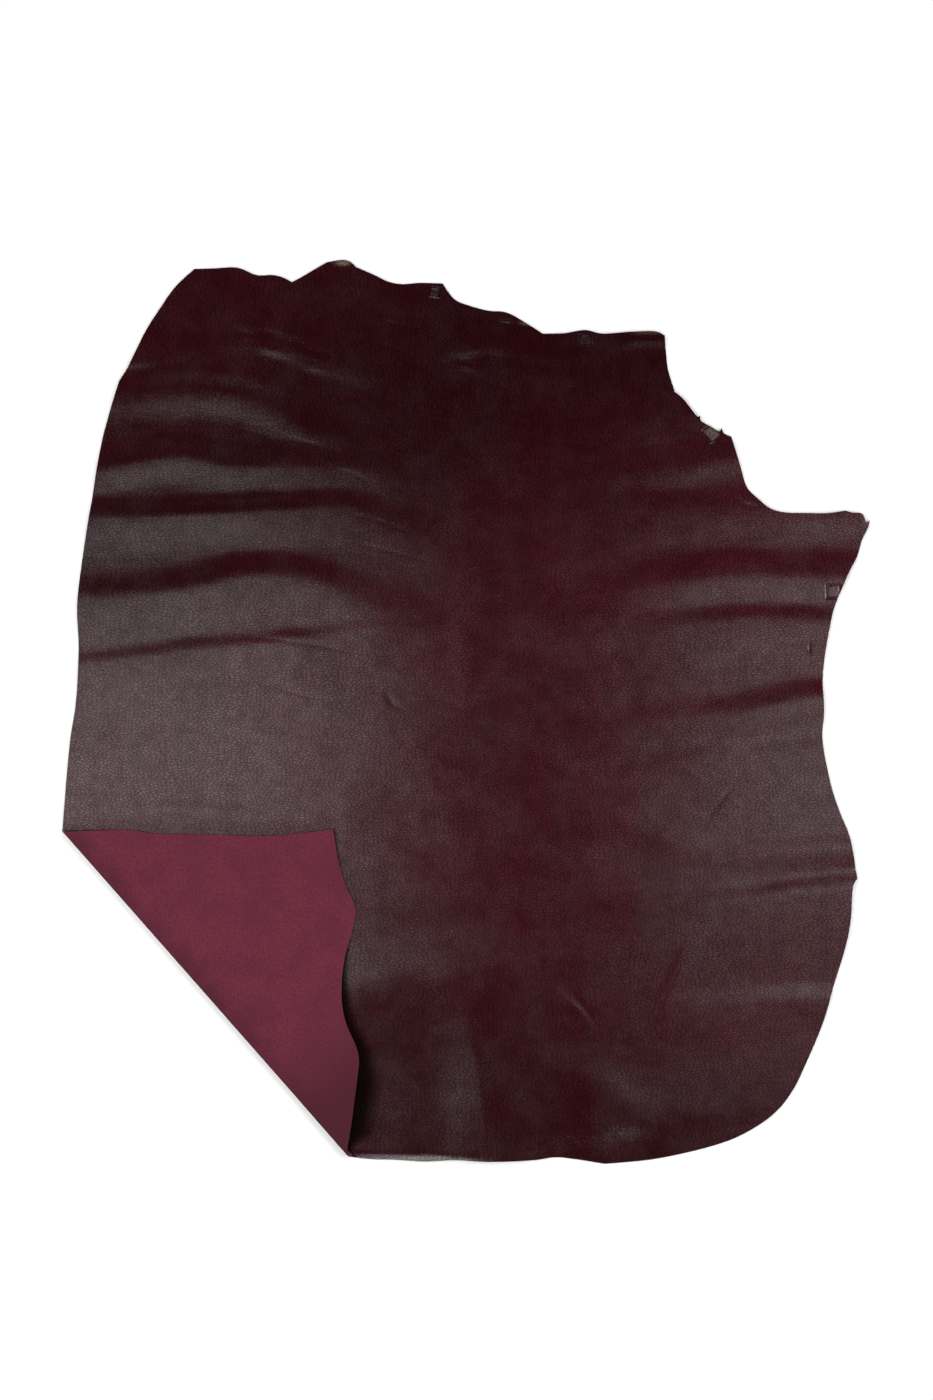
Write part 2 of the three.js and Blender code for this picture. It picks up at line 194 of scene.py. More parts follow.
# Creases in the grain side, drawn like the waves, with depths in place of heights.
CREASES = [
    Ridge([(-406, 56, 0), (-345, 50, 0.25), (-268, 28, 0.45), (-196, 15, 0)], 6, 9, 0.6),
    Ridge([(-333, -22, 0), (-290, -30, 0.3), (-229, -48, 0)], 6, 9, 0.6),
    Ridge([(-336, -106, 0), (-280, -120, 0.35), (-207, -129, 0)], 6, 9, 0.6),
    Ridge([(-381, 125, 0), (-300, 118, 0.35), (-230, 108, 0.4), (-178, 96, 0)], 6, 10, 0.6),
    Ridge([(-133, 44, 0), (-120, 15, 0.4), (-84, -5, 0)], 7, 12, 0.5),
    Ridge([(-191, 663, 0), (-90, 637, 0.25), (23, 597, 0)], 5, 8, 0.6),
    Ridge([(-206, 630, 0), (-130, 604, 0.3), (-60, 574, 0)], 5, 8, 0.6),
    Ridge([(-384, 485, 0), (-250, 442, 0.12), (-113, 401, 0)], 5, 8, 0.6),
    Ridge([(-421, 480, 0), (-320, 455, 0.10), (-219, 439, 0)], 5, 8, 0.6),
    Ridge([(-249, 409, 0), (-190, 395, 0.15), (-143, 371, 0)], 5, 8, 0.6),
    Ridge([(-188, 281, 0), (-110, 262, 0.2), (-23, 236, 0)], 5, 8, 0.6),
    Ridge([(-230, 330, 0), (-150, 318, 0.15), (-60, 280, 0)], 5, 8, 0.6),
    Ridge([(461, -96, 0), (420, -148, 0.4), (386, -195, 0)], 8, 8, 0.4),
    Ridge([(380, -362, 0), (342, -440, 0.6), (300, -533, 0)], 8, 10, 0.4),
    Ridge([(172, -450, 0), (196, -488, 0.4), (222, -525, 0)], 7, 10, 0.5),
    Ridge([(600, 213, 0), (596, 200, 0.9), (594, 188, 0)], 3, 3, 0.3),
    Ridge([(568, 117, 0), (567, 105, 0.9), (571, 96, 0)], 3, 4, 0.3),
    Ridge([(450, 345, 0), (468, 341, 1.0), (486, 336, 0)], 6, 6, 0.3),
    Ridge([(50, 647, 0), (66, 646, 1.0), (84, 643, 0)], 6, 6, 0.3),
]
# Square prints that the clips of the drying frame left near the edge, each with its turn in
# degrees and how far its dye is rubbed away.
Print = namedtuple("Print", "at size turn rubbed")
CLIP_PRINTS = [
    Print((406, 460), (20, 23), 38, 0.22),
    Print((197, 614), (18, 16), 0, 0.02),
    Print((-51, 693), (16, 14), -10, 0.05),
    Print((606, 199), (22, 22), 4, 0.06),
]
# Places along the edge where the dye is rubbed away: how far across and along, and what share.
Rub = namedtuple("Rub", "at reach share")
RUBBED_EDGE = [
    Rub((-203, 742), (20, 8), 0.6),
    Rub((100, 643), (16, 7), 0.25),
    Rub((300, 627), (40, 6), 0.2),
    Rub((662, 318), (10, 10), 0.3),
]
PRINT_DEPTH = 0.8              # of the pressed line round a print
PRINT_RIM = 3.0                # from the middle of that line to its side
PRINT_PITCH = PRINT_RIM * 0.6  # between mesh points at a print
PRINT_REACH = 0.9              # of those points from its middle, as a share of its size
PRINT_SHADE = 0.6              # share of full shade in the pressed line
PRINT_SHADE_REACH = 2          # of that shade from the middle of the line
# How far the shade reaches beside the free edge of the turned corner: (x, y, reach) along it.
CORNER_SHADE = [(-219, -200, 7), (-208, -265, 2), (-190, -345, 2), (-199, -404, 7),
                (-203, -450, 13), (-196, -517, 26), (-177, -575, 40), (-182, -640, 56),
                (-188, -685, 52), (-194, -712, 20)]
FULL_SHADE = 0.2               # share of that reach before the shade begins to fade


# ---------------------------------------------------------------- curves and folding
def curve_through(points, pitch):
    """Smooth curve through the points, in straight pieces no longer than the pitch."""
    points = np.array(points, float)
    padded = np.vstack([points[:1], points, points[-1:]])
    pieces = []
    for before, start, end, after in zip(padded, padded[1:], padded[2:], padded[3:]):
        count = math.ceil(np.linalg.norm(end - start) / pitch)
        part = np.arange(count)[:, None] / count
        leave = (end - before) / 2
        arrive = (after - start) / 2
        cubic = 2 * start - 2 * end + leave + arrive
        square = -3 * start + 3 * end - 2 * leave - arrive
        pieces.append(cubic * part ** 3 + square * part ** 2 + leave * part + start)
    return np.vstack([*pieces, points[-1:]])


def to_fold(points):
    """Distances along the fold and across it, the second positive towards the corner."""
    offset = points - FOLD_START
    return offset @ ALONG_FOLD, offset @ ACROSS_FOLD


def from_fold(along, across):
    """Points at those distances along the fold and across it."""
    return FOLD_START + np.outer(along, ALONG_FOLD) + np.outer(across, ACROSS_FOLD)


def unturned(points):
    """Where points of the turned corner lie in the flat cut."""
    along, across = to_fold(points)
    return from_fold(along, 2 * BEND_BEGIN + BEND_LENGTH - across)


def flat_outline():
    """Outline of the hide before its corner was turned over, anticlockwise."""
    lying = [curve_through(row, EDGE_PITCH)[:-1] for row in LYING_EDGE.values()]
    turned = [curve_through(row, EDGE_PITCH) for row in TURNED_EDGE.values()]
    turned[0] = turned[0][:-1]
    return np.vstack([*lying, *[unturned(row) for row in turned]])[::-1]


def bell(share):
    """Falls smoothly from 1 to 0 as the share rises from 0 to 1."""
    return (1 + np.cos(math.pi * np.clip(share, 0, 1))) / 2


def eased(share):
    """Rises smoothly from 0 to 1 as the share does."""
    share = np.clip(share, 0, 1)
    return share * share * (3 - 2 * share)


def nearest(points, others):
    """Which of the others is nearest to each point, and how far away it is."""
    tree = kdtree.KDTree(len(others))
    for index, (x, y) in enumerate(others):
        tree.insert((x, y, 0), index)
    tree.balance()
    found = [tree.find((x, y, 0)) for x, y in points]
    return [index for _, index, _ in found], np.array([gap for _, _, gap in found])


def ridge_height(ridge, line, points):
    """Height of one ridge at each point."""
    reach = max(ridge.above, ridge.below)
    crest, rise = line[:, :2], line[:, 2]
    height = np.zeros(len(points))
    near = np.all((points > crest.min(0) - reach) & (points < crest.max(0) + reach), axis=1)
    close = points[near]
    step = crest[1:] - crest[:-1]
    offset = close[:, None] - crest[None, :-1]
    part = np.clip((offset * step).sum(2) / (step ** 2).sum(1), 0, 1)
    distance = np.linalg.norm(offset - part[..., None] * step, axis=2)
    piece = distance.argmin(1)
    rows = np.arange(len(close))
    distance, part, offset = (held[rows, piece] for held in (distance, part, offset))
    step = step[piece]
    side = step[:, 0] * offset[:, 1] - step[:, 1] * offset[:, 0]
    fall = np.clip(distance / np.where(side > 0, ridge.above, ridge.below), 0, 1)
    profile = (1 - ridge.crisp) * bell(fall) + ridge.crisp * (1 - fall) ** 2
    top = rise[piece] + part * (rise[piece + 1] - rise[piece])
    height[near] = np.clip(top, 0, None) * profile
    return height


def ridge_sum(ridges, points, pitch):
    """Height of all the ridges together at each point."""
    total = np.zeros(len(points))
    for ridge in ridges:
        total += ridge_height(ridge, curve_through(ridge.crest, pitch), points)
    return total


def unevenness(points):
    """The slight waviness all over the leather, drawn out across the hide."""
    height = np.zeros(len(points))
    for swell in SWELLS:
        places = [(x / swell.across, y / swell.along, swell.layer) for x, y in points]
        height += swell.height * np.array([noise.noise(place) for place in places])
    return height


def relief(points):
    """Height that waves, wrinkles and swells give the leather as it lies."""
    waves = WAVE_EASE * ridge_sum(WAVES, points, WAVE_LINE_PITCH)
    wrinkles = ridge_sum(WRINKLES, points, FINE_LINE_PITCH)
    return waves + wrinkles + SWELL_REST + unevenness(points)


def print_side(clip, points):
    """How far outside a print's border each point lies, negative inside it."""
    turn = math.radians(clip.turn)
    offset = points - clip.at
    right = offset @ (math.cos(turn), math.sin(turn))
    up = offset @ (-math.sin(turn), math.cos(turn))
    return np.maximum(np.abs(right) - clip.size[0] / 2, np.abs(up) - clip.size[1] / 2)


def print_depth(clip, points):
    """How deep a clip has pressed the leather: a line round its print."""
    return PRINT_DEPTH * bell(np.abs(print_side(clip, points)) / PRINT_RIM)


def rubbed_away(points):
    """Share of the dye that is rubbed away at the prints and along the edge."""
    share = np.zeros(len(points))
    for rub in RUBBED_EDGE:
        gap = np.linalg.norm((points - rub.at) / rub.reach, axis=1)
        share = np.maximum(share, rub.share * bell(gap))
    for clip in CLIP_PRINTS:
        outside = print_side(clip, points)
        share = np.maximum(share, clip.rubbed * bell(1 + outside / PRINT_RIM))
    return share


def marks_depth(points):
    """Depth of the creases and prints, which only the grain side has."""
    depth = ridge_sum(CREASES, points, FINE_LINE_PITCH)
    for clip in CLIP_PRINTS:
        depth = np.maximum(depth, print_depth(clip, points))
    return depth


def shade(points):
    """Share of shade beside the turned corner and in the lines round the prints."""
    line = curve_through(CORNER_SHADE, EDGE_PITCH)
    index, distance = nearest(points, line[:, :2])
    share = bell((distance / line[index, 2] - FULL_SHADE) / (1 - FULL_SHADE))
    for clip in CLIP_PRINTS:
        from_line = np.abs(print_side(clip, points))
        share = np.maximum(share, PRINT_SHADE * bell(from_line / PRINT_SHADE_REACH))
    return share


def corner_lift(points):
    """How far the free edge of the turned corner stands up."""
    return sum(lift.height * bell(np.linalg.norm(points - lift.at, axis=1) / lift.reach)
               for lift in EDGE_LIFTS)


def laid(flat, level):
    """Place of each point of the flat leather, level above its flesh side, as it lies."""
    along, across = to_fold(flat)
    past = across - BEND_BEGIN
    angle = np.clip(past / BEND_RADIUS, 0, math.pi)
    radius = BEND_RADIUS + HALF_THICKNESS - level
    beyond = np.clip(past - BEND_LENGTH, 0, None)
    bent = BEND_BEGIN + radius * np.sin(angle)
    plan_across = np.where(past <= 0, across, bent - beyond)
    plan = from_fold(along, plan_across)
    rise = HALF_THICKNESS + BEND_RADIUS - radius * np.cos(angle)
    drop = (LEATHER_THICKNESS + LAYER_GAP - 2 * BEND_RADIUS) * eased(beyond / SETTLE_LENGTH)
    lift = eased(beyond / LIFT_LENGTH) * corner_lift(plan)
    return np.column_stack([plan, relief(plan) + (rise + drop + lift)])


# ---------------------------------------------------------------- mesh points
def inside(points, loop):
    """Which points lie inside a closed loop."""
    x, y = points.T
    within = np.zeros(len(points), bool)
    for (x0, y0), (x1, y1) in zip(loop, np.roll(loop, -1, axis=0)):
        crosses = (y0 > y) != (y1 > y)
        if crosses.any():
            reach = x0 + (y - y0) * (x1 - x0) / ((y1 - y0) or 1e-9)
            within ^= crosses & (x < reach)
    return within


def lattice(low, high, pitch):
    """Points in staggered rows over a rectangle."""
    rows = np.arange(low[1], high[1], pitch * math.sqrt(3) / 2)
    columns = np.arange(low[0], high[0], pitch)
    x, y = np.meshgrid(columns, rows)
    x[1::2] += pitch / 2
    return np.column_stack([x.ravel(), y.ravel()])


def bend_points(outline):
    """Closer mesh points round the bend, in rows along the fold."""
    along, _ = to_fold(outline)
    columns = np.arange(along.min(), along.max(), BEND_COLUMN_PITCH)
    rows = np.linspace(BEND_BEGIN, BEND_BEGIN + BEND_LENGTH, BEND_ROWS + 1)
    along, across = np.meshgrid(columns, rows)
    return from_fold(along.ravel(), across.ravel())


def mark_points():
    """Closer mesh points along the creases and round the prints."""
    rows = []
    for crease in CREASES:
        line = curve_through(crease.crest, CREASE_PITCH)[:, :2]
        step = np.gradient(line, axis=0)
        side = np.column_stack([-step[:, 1], step[:, 0]])
        side /= np.linalg.norm(side, axis=1)[:, None]
        for thirds in (-2, -1, 0, 1, 2):
            reach = crease.above if thirds > 0 else crease.below
            rows.append(line + side * thirds * reach / 3)
    for clip in CLIP_PRINTS:
        corner = np.full(2, max(clip.size) * PRINT_REACH)
        rows.append(clip.at + lattice(-corner, corner, PRINT_PITCH))
    return np.vstack(rows)


def apart(points, others, distance):
    """The points that keep a distance from all the others."""
    _, gaps = nearest(points, others)
    return points[gaps > distance]


def triangulate(outline, inner):
    """Mesh points and triangles over the flat cut, and its area."""
    count = len(outline)
    points = [Vector(point) for point in np.vstack([outline, inner])]
    edges = [(i, (i + 1) % count) for i in range(count)]
    places, _, faces, *_ = delaunay_2d_cdt(points, edges, [], 0, SAME_PLACE, False)
    flat = np.array([tuple(place) for place in places])
    triangles = np.array(faces)
    triangles = triangles[inside(flat[triangles].mean(axis=1), outline)]
    a, b, c = (flat[triangles[:, i]] for i in range(3))
    area = np.cross(b - a, c - a)
    triangles[area < 0] = triangles[area < 0][:, ::-1]
    return flat, triangles, float(np.abs(area).sum() / 2)


def flat_sheet(outline, pitch, marks=()):
    """Triangles over the flat cut, closer at the bend and at the marks."""
    close = bend_points(outline)
    if len(marks):
        close = np.vstack([close, marks])
    close = apart(close[inside(close, outline)], outline, EDGE_PITCH * CLOSE_TO_EDGE)
    plain = lattice(outline.min(0), outline.max(0), pitch)
    plain = plain[inside(plain, outline)]
    plain = apart(plain, outline, EDGE_PITCH)
    plain = apart(plain, close, pitch * PLAIN_TO_CLOSE)
    return triangulate(outline, np.vstack([close, plain]))


# ---------------------------------------------------------------- the hide
def keep_rim_sharp(mesh, rim, count):
    """Keep the two borders of the cut edge crisp."""
    pairs = {frozenset((a, b)) for a, b in rim}
    pairs |= {frozenset((a + count, b + count)) for a, b in rim}
    sharp = mesh.attributes.new("sharp_edge", "BOOLEAN", "EDGE")
    sharp.data.foreach_set("value", [frozenset(edge.vertices) in pairs for edge in mesh.edges])


def hold_flat_cut(mesh, flat):
    """Hold each mesh point's place on the flat cut, in metres, as a UV map."""
    layout = mesh.uv_layers.new(name="flat_cut")
    corners = np.empty(len(mesh.loops), int)
    mesh.loops.foreach_get("vertex_index", corners)
    layout.data.foreach_set("uv", (flat[corners] * MM).ravel())


def hold_share(mesh, name, shares):
    """Hold a share at each mesh point of the grain side, for its finish to read."""
    held = mesh.attributes.new(name, "FLOAT", "POINT")
    below = np.zeros(len(mesh.vertices) - len(shares))
    held.data.foreach_set("value", np.append(shares, below))


def build_hide(materials):
    """The hide as one closed mesh, with the size and area of its flat cut in metres."""
    outline = flat_outline()
    grain, grain_faces, area = flat_sheet(outline, MESH_PITCH, mark_points())
    flesh, flesh_faces, _ = flat_sheet(outline, UNDER_PITCH)
    top = laid(grain, LEATHER_THICKNESS - marks_depth(grain))
    bottom = laid(flesh, 0.0)
    count = len(grain)
    rim = [(i, (i + 1) % len(outline)) for i in range(len(outline))]
    sides = [(a, a + count, b + count, b) for a, b in rim]
    under = (flesh_faces + count)[:, ::-1]
    faces = [*grain_faces.tolist(), *under.tolist(), *sides]
    mesh = bpy.data.meshes.new("hide_leather")
    mesh.from_pydata((np.vstack([top, bottom]) * MM).tolist(), [], faces)
    slots = [0] * len(grain_faces) + [1] * len(under) + [2] * len(sides)
    mesh.polygons.foreach_set("material_index", slots)
    for material in materials:
        mesh.materials.append(material)
    mesh.shade_smooth()
    keep_rim_sharp(mesh, rim, count)
    hold_flat_cut(mesh, np.vstack([grain, flesh]))
    hold_share(mesh, "shade", shade(grain))
    hold_share(mesh, "rubbed_away", rubbed_away(grain))
    mesh.validate()
    hide = bpy.data.objects.new("hide_leather", mesh)
    bpy.context.collection.objects.link(hide)
    size = (outline.max(0) - outline.min(0)) * MM
    return hide, size, area * MM * MM


# ---------------------------------------------------------------- finishes
# Colours are linear red, green and blue.
DYE = (0.0284, 0.0029, 0.0055)
BRIGHT_DYE = (0.0354, 0.0035, 0.0068)
# Painted shade at the neck, and a darker tone at the tail and the shoulder.
PAINTED_NECK_SHADE = (0.0145, 0.0011, 0.0023)
DARKER_OUTER_TONE = (0.0200, 0.0016, 0.0033)
RUBBED_DYE = (0.24, 0.19, 0.16)
SUEDE = (0.110, 0.0158, 0.0324)
PALE_SUEDE = (0.142, 0.0206, 0.0416)
BRUSHED_SUEDE = (0.150, 0.025, 0.046)
# Painted shade: the suede darker towards the tip of the turned corner and along its fold.
SHADED_TIP_SUEDE = (0.054, 0.0086, 0.0165)
SHADED_FOLD_SUEDE = (0.048, 0.0088, 0.0158)
NAP_SHADOW = (0.066, 0.0084, 0.0180)
SUEDE_SHEEN = (0.6, 0.25, 0.32)
CUT_FIBRE = (0.036, 0.011, 0.014)
PALE_CUT_FIBRE = (0.090, 0.031, 0.034)
PALE_FLOOR = (0.9, 0.9, 0.9)
ROOM_GLOW = (0.015, 0.015, 0.015)

# Pebbles and fold lines to the metre, across the hide and along it.
PEBBLES = (138, 282)
SMALL_PEBBLES = (255, 470)
FOLD_LINES = (30, 135)
PEBBLE_DEPTH = 0.00005   # metres, and so are the next two
PORE_DEPTH = 0.00001
FIBRE_DEPTH = 0.0003
SHADE_DEPTH = 0.85       # share of the tone and shine that full shade takes
NECK_SHINE_SHADE = 0.28      # share of the shine that painted shade takes at the neck

# Where the leather is darker, with painted shade at the neck: a direction across and along the
# flat cut, how many metres that way it begins and is full, and its colour.
Zone = namedtuple("Zone", "across along begins full colour")
DARKER_ZONES = {
    "neck": Zone(-0.35, 1.0, 0.18, 0.62, PAINTED_NECK_SHADE),
    "tail": Zone(-0.3, -1.0, 0.38, 0.72, DARKER_OUTER_TONE),
    "shoulder": Zone(-0.6, 1.0, 0.74, 1.04, DARKER_OUTER_TONE),
}


class Surface:
    """A finish in the making: its nodes, its links and its shader."""

    def __init__(self, name, roughness):
        self.material = bpy.data.materials.new(name)
        self.material.use_nodes = True
        self.tree = self.material.node_tree
        self.tree.nodes.clear()
        self.shader = self.add("ShaderNodeBsdfPrincipled", Roughness=roughness)
        output = self.add("ShaderNodeOutputMaterial")
        self.link(self.shader, "BSDF", output, "Surface")

    def add(self, kind, settings=None, **values):
        """A node; a value's name is its socket's, with _ for a space."""
        made = self.tree.nodes.new(kind)
        for name, value in (settings or {}).items():
            setattr(made, name, value)
        for name, value in values.items():
            made.inputs[name.replace("_", " ")].default_value = value
        return made

    def link(self, giver, output, taker, place):
        self.tree.links.new(giver.outputs[output], taker.inputs[place])

    def flat_cut(self):
        """Metres on the flat cut of the leather, which the grain follows."""
        return self.add("ShaderNodeUVMap", {"uv_map": "flat_cut"}), "UV"

    def held(self, name):
        """A share held at the mesh points."""
        return self.add("ShaderNodeAttribute", {"attribute_name": name}), "Fac"

    def place_on_flat(self, axis):
        """Metres across (X) or towards the neck (Y) on the flat cut."""
        parts = self.add("ShaderNodeSeparateXYZ")
        self.link(*self.flat_cut(), parts, "Vector")
        return parts, axis

    def place_towards(self, across, along, unevenness):
        """Metres in one direction on the flat cut, pushed about by the unevenness."""
        straight = self.math("ADD", self.math("MULTIPLY", self.place_on_flat("X"), across),
                             self.math("MULTIPLY", self.place_on_flat("Y"), along))
        return self.math("ADD", straight, unevenness)

    def stretched(self, source, scale, turn=0.0):
        """The source turned, and scaled across and along."""
        mapping = self.add("ShaderNodeMapping", Scale=(*scale, 1), Rotation=(0, 0, turn))
        self.link(*source, mapping, "Vector")
        return mapping, "Vector"

    def noise(self, source, scale, detail=2.0, roughness=0.5):
        made = self.add("ShaderNodeTexNoise", {"noise_dimensions": "2D"}, Scale=scale,
                        Detail=detail, Roughness=roughness)
        self.link(*source, made, "Vector")
        return made, "Fac"

    def cells(self, source):
        """How far each place is from the border of its cell."""
        settings = {"voronoi_dimensions": "2D", "feature": "DISTANCE_TO_EDGE"}
        made = self.add("ShaderNodeTexVoronoi", settings, Scale=1.0)
        self.link(*source, made, "Vector")
        return made, "Distance"

    def remap(self, source, low, high, to_low=0.0, to_high=1.0):
        """From to_low to to_high, smoothly, as the source goes from low to high."""
        made = self.add("ShaderNodeMapRange", {"interpolation_type": "SMOOTHSTEP"},
                        From_Min=low, From_Max=high, To_Min=to_low, To_Max=to_high)
        self.link(*source, made, "Value")
        return made, "Result"

    def math(self, operation, first, second=0.0):
        """One sum on two numbers, each a plain one or a link."""
        made = self.add("ShaderNodeMath", {"operation": operation})
        for place, value in enumerate((first, second)):
            if isinstance(value, tuple):
                self.link(*value, made, place)
            else:
                made.inputs[place].default_value = value
        return made, "Value"

    def lessened(self, share, depth):
        """1 where there is none of the share, and less by depth where there is all of it."""
        return self.math("SUBTRACT", 1.0, self.math("MULTIPLY", share, depth))

    def warped(self, source, scale, reach):
        """The source pushed about by a noise, so that a pattern on it runs unevenly."""
        push = self.add("ShaderNodeTexNoise", {"noise_dimensions": "2D"}, Scale=scale, Detail=2.0)
        self.link(*source, push, "Vector")
        centred = self.add("ShaderNodeVectorMath", {"operation": "SUBTRACT"})
        centred.inputs[1].default_value = (0.5, 0.5, 0.5)
        self.link(push, "Color", centred, 0)
        moved = self.add("ShaderNodeVectorMath", {"operation": "MULTIPLY_ADD"})
        moved.inputs[1].default_value = (reach, reach, 0)
        self.link(centred, "Vector", moved, 0)
        self.link(*source, moved, 2)
        return moved, "Vector"

    def blend(self, share, first, second):
        """Colour between the two, each a colour or a link."""
        made = self.add("ShaderNodeMix", {"data_type": "RGBA"})
        self.link(*share, made, 0)
        for place, value in ((6, first), (7, second)):
            if isinstance(value[0], float):
                made.inputs[place].default_value = (*value, 1)
            else:
                self.link(*value, made, place)
        return made, 2

    def toned(self, colour, tone):
        """The colour made lighter or darker by the tone."""
        made = self.add("ShaderNodeVectorMath", {"operation": "SCALE"})
        self.link(*colour, made, "Vector")
        self.link(*tone, made, "Scale")
        return made, "Vector"

    def bump(self, height, depth, strength=1.0, under=None):
        """Relief up to the depth, on top of the relief under it."""
        made = self.add("ShaderNodeBump", Strength=strength, Distance=depth)
        self.link(*height, made, "Height")
        if under:
            self.link(*under, made, "Normal")
        return made, "Normal"

    def give(self, source, place):
        """Link the source to one of the shader's sockets."""
        self.link(*source, self.shader, place)


def pebbled_grain():
    """Grain side: pebbles a few millimetres wide between dark grooves, under a satin finish."""
    leather = Surface("pebbled_grain", roughness=0.2)
    flat = leather.flat_cut()
    drawn = leather.warped(flat, scale=6, reach=0.03)
    drawn = leather.warped(drawn, scale=60, reach=0.0045)

    pebbles = leather.cells(leather.stretched(drawn, PEBBLES))
    small_pebbles = leather.cells(leather.stretched(drawn, SMALL_PEBBLES))
    domes = leather.math("MULTIPLY", leather.remap(pebbles, 0.0, 0.24),
                         leather.remap(small_pebbles, 0.0, 0.30, 0.62, 1.0))
    folds = leather.noise(leather.stretched(drawn, FOLD_LINES), scale=1, detail=2)
    off_fold = leather.math("ABSOLUTE", leather.math("SUBTRACT", folds, 0.5))
    tops = leather.math("MULTIPLY", domes, leather.remap(off_fold, 0.0, 0.030, 0.6, 1.0))
    height = leather.math("ADD", leather.math("MULTIPLY", folds, 2.6), tops)
    pores = leather.noise(flat, scale=1400, detail=1)
    pitted = leather.bump(pores, PORE_DEPTH, 0.6)
    leather.give(leather.bump(height, PEBBLE_DEPTH, under=pitted), "Normal")

    tone = leather.noise(leather.stretched(flat, (4.5, 3.5)), scale=1, detail=4, roughness=0.6)
    streaks = leather.noise(leather.stretched(flat, (16, 2.2)), scale=1, detail=3)
    tone = leather.math("ADD", tone, leather.math("MULTIPLY", streaks, 0.5))
    colour = leather.blend(leather.remap(tone, 0.5, 1.0), DYE, BRIGHT_DYE)
    uneven = leather.math("MULTIPLY", leather.noise(flat, scale=3, detail=3), 0.20)
    darkened = {}
    # The neck is darkened by painted shade, the tail and the shoulder by a darker tone.
    for name, zone in DARKER_ZONES.items():
        place = leather.place_towards(zone.across, zone.along, uneven)
        darkened[name] = leather.remap(place, zone.begins, zone.full)
        colour = leather.blend(darkened[name], colour, zone.colour)
    colour = leather.blend(leather.held("rubbed_away"), colour, RUBBED_DYE)

    cloud = leather.noise(drawn, scale=40, detail=5, roughness=0.7)
    # Painted shade beside the turned corner and in the lines round the prints, with a random
    # cloud of tone, darkens the colour and the shine.
    shade_and_cloud = leather.math("MULTIPLY", leather.lessened(leather.held("shade"), SHADE_DEPTH),
                       leather.remap(cloud, 0.34, 0.66, 0.89, 1.11))
    # Pebble tops lighter and grooves darker: partly the grain's own colour, partly painted shade
    # in the grooves.
    grain_tone_and_groove_shade = leather.remap(tops, 0.0, 1.0, 0.62, 1.35)
    colour = leather.toned(colour, leather.math("MULTIPLY", grain_tone_and_groove_shade, shade_and_cloud))
    leather.give(colour, "Base Color")

    finish = leather.noise(flat, scale=14, detail=3, roughness=0.5)
    leather.give(leather.remap(finish, 0.25, 0.75, 0.17, 0.25), "Roughness")
    shine = leather.math("MULTIPLY", leather.remap(tops, 0.0, 1.0, 0.30, 0.76), shade_and_cloud)
    # Painted shade dulls the shine at the neck.
    shine = leather.math("MULTIPLY", shine, leather.lessened(darkened["neck"], NECK_SHINE_SHADE))
    leather.give(shine, "Specular IOR Level")
    return leather.material


def suede_flesh_side():
    """Flesh side: a short matt nap, mottled and brushed this way and that."""
    suede = Surface("suede_flesh_side", roughness=0.92)
    flat = suede.flat_cut()
    drawn = suede.warped(flat, scale=20, reach=0.01)
    mottle = suede.noise(drawn, scale=16, detail=5, roughness=0.65)
    streaks = suede.noise(suede.stretched(drawn, (60, 260), 0.7), scale=1, detail=4)
    nap = suede.noise(suede.stretched(flat, (250, 330)), scale=1, detail=4, roughness=0.75)
    colour = suede.blend(suede.remap(mottle, 0.3, 0.7), SUEDE, PALE_SUEDE)
    colour = suede.blend(suede.remap(streaks, 0.45, 0.8, 0, 0.35), colour, BRUSHED_SUEDE)
    uneven = suede.math("MULTIPLY", mottle, 0.05)
    towards_tip = suede.place_towards(0.66, -0.75, uneven)
    # Painted shade darkens the suede towards the tip of the turned corner.
    colour = suede.blend(suede.remap(towards_tip, 0.24, 0.38), colour, SHADED_TIP_SUEDE)
    past_fold = suede.place_towards(-0.75, -0.66, uneven)
    # Painted shade darkens the suede along the fold.
    colour = suede.blend(suede.remap(past_fold, 0.65, 0.70, 0.7, 0.0), colour, SHADED_FOLD_SUEDE)
    colour = suede.blend(suede.remap(nap, 0.32, 0.68, 0, 0.75), colour, NAP_SHADOW)
    suede.give(colour, "Base Color")
    fibre = suede.bump(nap, FIBRE_DEPTH, 0.6)
    suede.give(suede.bump(mottle, 0.002, 0.25, under=fibre), "Normal")
    suede.shader.inputs["Specular IOR Level"].default_value = 0.2
    suede.shader.inputs["Sheen Weight"].default_value = 0.12
    suede.shader.inputs["Sheen Roughness"].default_value = 0.5
    suede.shader.inputs["Sheen Tint"].default_value = (*SUEDE_SHEEN, 1)
    return suede.material


def cut_edge():
    """The cut through the leather: fibres, paler here and there."""
    edge = Surface("cut_edge", roughness=0.85)
    fibres = edge.noise(edge.flat_cut(), scale=900, detail=3)
    edge.give(edge.blend(edge.remap(fibres, 0.3, 0.7), CUT_FIBRE, PALE_CUT_FIBRE), "Base Color")
    edge.give(edge.bump(fibres, FIBRE_DEPTH, 0.8), "Normal")
    return edge.material


# ---------------------------------------------------------------- floor, light and camera
# The sheets of light that make one soft panel: how much wider than the panel each is, in
# metres, and its share of the light.
PANEL_SHEETS = [(-0.3, 0.42), (0.0, 0.33), (0.25, 0.18), (0.45, 0.07)]
CAMERA_LENS = 54.5
CAMERA_PLACE = (0.0012, 0.0196, 3.5)


def build_floor():
    """The pale floor, just under the hide."""
    bpy.ops.mesh.primitive_plane_add(size=14, location=(0, 0, -0.0005))
    floor = bpy.context.object
    floor.name = "floor"
    pale = Surface("pale_floor", roughness=0.9)
    pale.shader.inputs["Base Color"].default_value = (*PALE_FLOOR, 1)
    floor.data.materials.append(pale.material)
    return floor


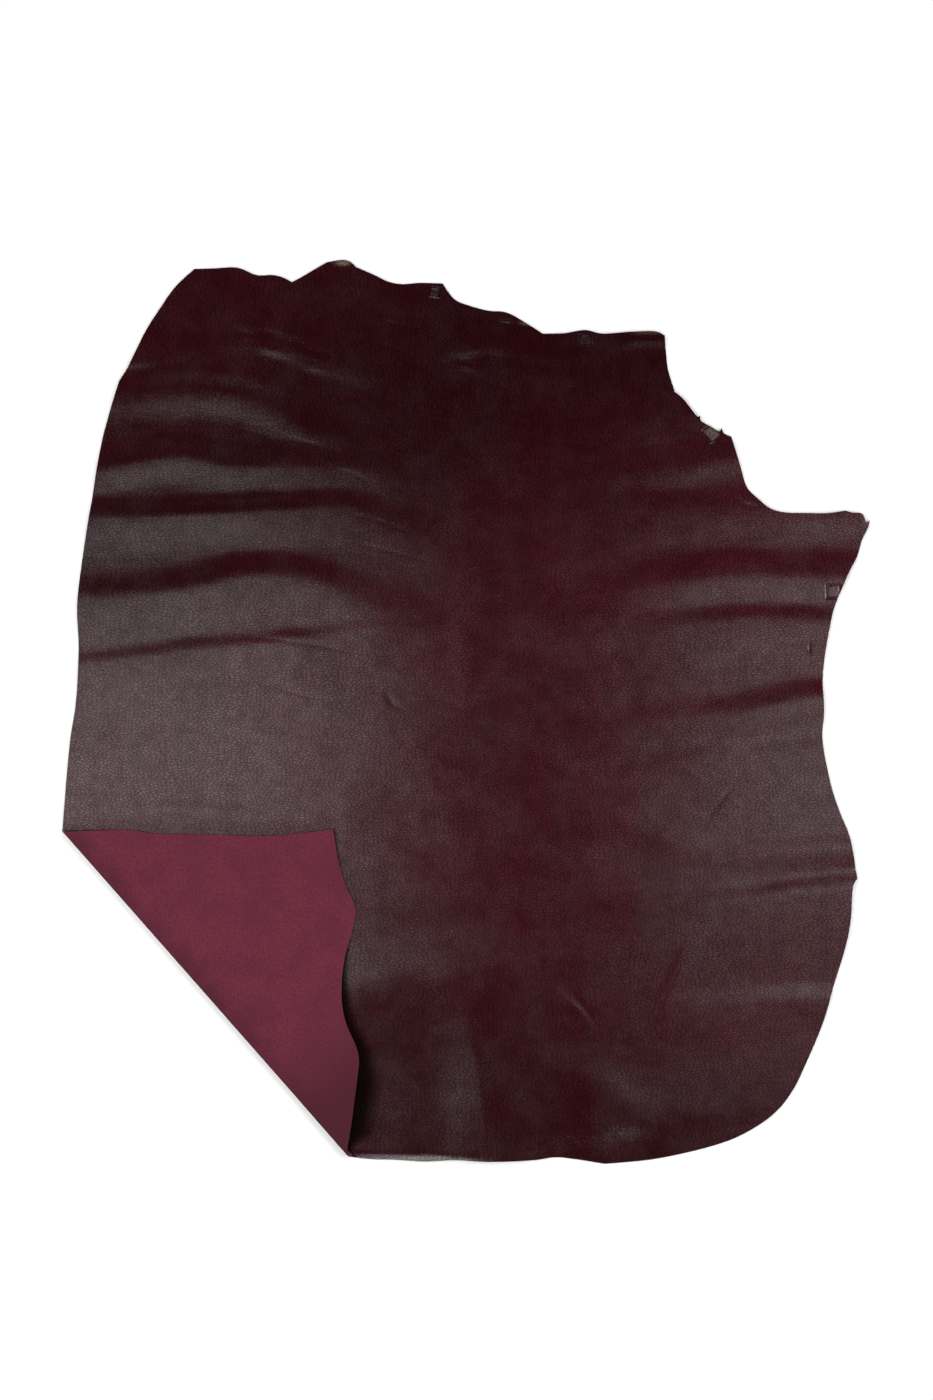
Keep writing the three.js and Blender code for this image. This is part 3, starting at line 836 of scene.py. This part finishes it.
def area_light(name, place, aim, size, power):
    """A rectangular light, in metres and watts, turned towards its aim."""
    data = bpy.data.lights.new(name, "AREA")
    data.shape = "RECTANGLE"
    data.size, data.size_y = size
    data.energy = power
    light = bpy.data.objects.new(name, data)
    light.location = place
    light.rotation_euler = (Vector(aim) - Vector(place)).to_track_quat("-Z", "Y").to_euler()
    bpy.context.collection.objects.link(light)


def soft_panel(name, place, size, brightness):
    """A panel overhead that fades towards its edges: sheets of light, one inside another."""
    aim = (place[0], place[1], 0)
    for part, (spread, share) in enumerate(PANEL_SHEETS):
        sheet = [side + spread for side in size]
        power = math.pi * sheet[0] * sheet[1] * brightness * share
        area_light(f"{name}_{part}", place, aim, sheet, power)


def build_lights():
    """Lights round the hide and soft panels over it, in a dim room."""
    area_light("left_light", (-2.3, -0.15, 2.0), (-0.2, -0.15, 0), (2.4, 1.0), 54)
    area_light("right_light", (2.4, -0.1, 2.0), (0.2, -0.1, 0), (2.4, 1.0), 57)
    area_light("front_light", (0.1, -2.6, 2.1), (0.1, -0.1, 0), (2.4, 0.8), 31)
    area_light("back_light", (0.1, 2.6, 2.1), (0.1, 0.2, 0), (2.4, 0.8), 38)
    soft_panel("left_panel", (-0.93, -0.12, 2.2), (1.2, 0.80), 4.8)
    soft_panel("right_panel", (1.15, -0.2, 2.2), (1.0, 0.80), 3.6)
    area_light("left_low_panel", (-0.85, -0.95, 2.2), (-0.85, -0.95, 0), (0.9, 0.5), 1.7)
    area_light("right_low_panel", (1.1, -0.84, 2.2), (1.1, -0.84, 0), (1.1, 0.6), 1.1)
    world = bpy.data.worlds.new("soft_room")
    world.use_nodes = True
    world.node_tree.nodes["Background"].inputs["Color"].default_value = (*ROOM_GLOW, 1)
    bpy.context.scene.world = world


def build_camera():
    """A camera straight above the hide."""
    data = bpy.data.cameras.new("camera")
    data.lens = CAMERA_LENS
    camera = bpy.data.objects.new("camera", data)
    camera.location = CAMERA_PLACE
    bpy.context.collection.objects.link(camera)
    bpy.context.scene.camera = camera


def main():
    build_camera()
    hide, flat_size, flat_area = build_hide([pebbled_grain(), suede_flesh_side(), cut_edge()])
    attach(hide, "root")
    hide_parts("hide")
    build_floor()
    build_lights()
    bpy.context.scene.view_settings.view_transform = "Standard"


main()
